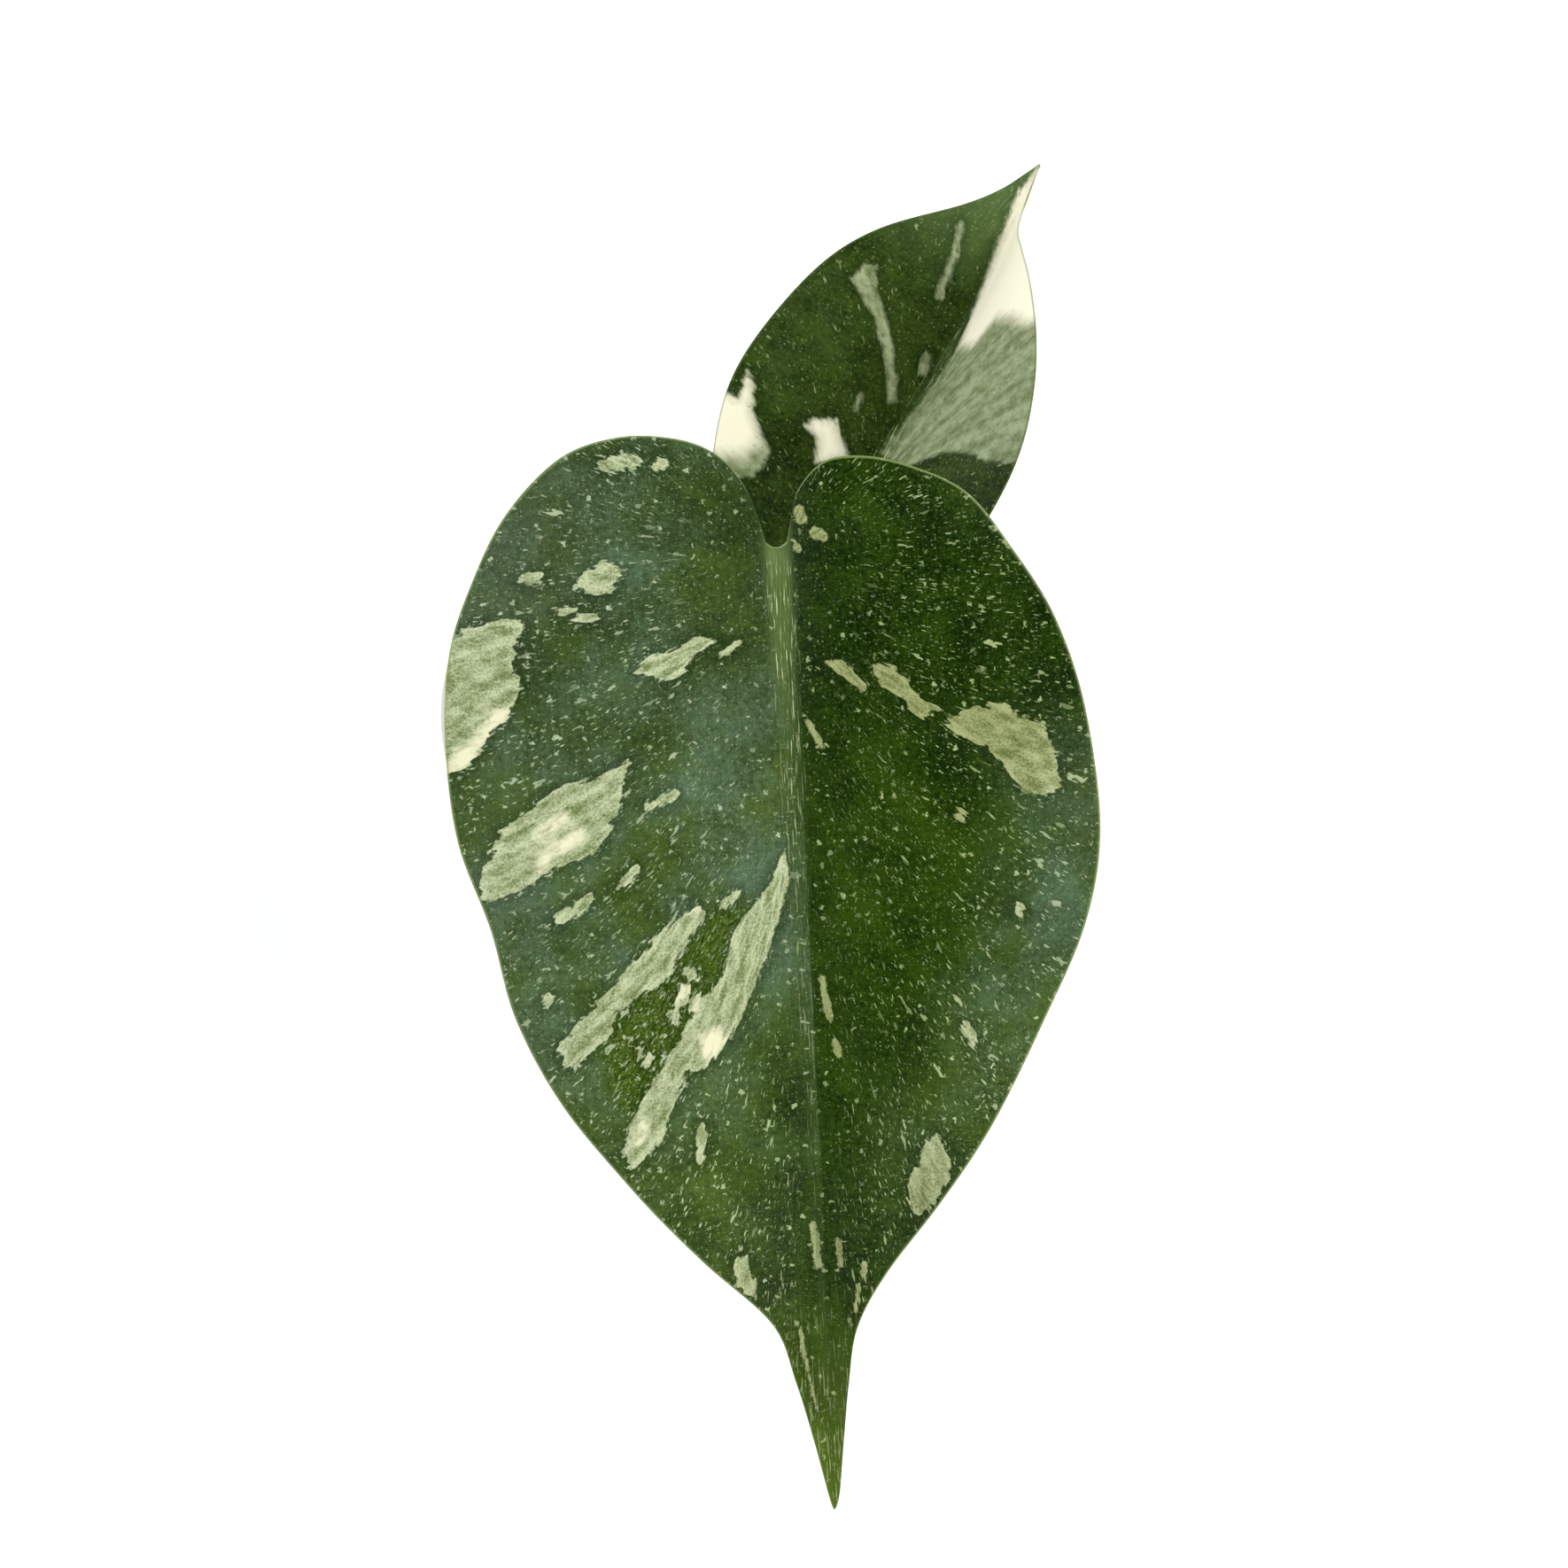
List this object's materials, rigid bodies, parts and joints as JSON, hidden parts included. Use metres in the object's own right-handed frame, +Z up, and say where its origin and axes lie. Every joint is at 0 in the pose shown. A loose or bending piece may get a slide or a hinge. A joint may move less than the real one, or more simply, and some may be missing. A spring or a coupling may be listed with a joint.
{
  "type": "potted thai constellation monstera",
  "caption": "Young variegated monstera with a large and a small heart-shaped leaf on grooved stalks, growing in a round tapered nursery pot of bark mix that stands on its flat foot.",
  "frame": {"origin": "centre of the pot's underside, on the surface it stands on", "axes": "+Z up. The large leaf hangs towards -Y and the small leaf rises towards +X and +Y, so Y is the longest way across the plant and X the shortest."},
  "size_m": [0.1292, 0.2572, 0.2345],
  "materials": {
    "pot_plastic": "satin",
    "potting_mix": "matte",
    "green_stem": "satin",
    "leaf_stalk": "satin",
    "rolled_leaf": "satin",
    "large_blade": "satin",
    "small_blade": "satin"
  },
  "bodies": {
    "root": {"pot": "pot_plastic", "soil": "potting_mix", "stem": "green_stem", "petiole_large": "leaf_stalk", "petiole_small": "leaf_stalk", "new_leaf": "rolled_leaf", "leaf_large": "large_blade", "leaf_small": "small_blade"}
  },
  "joints": []
}
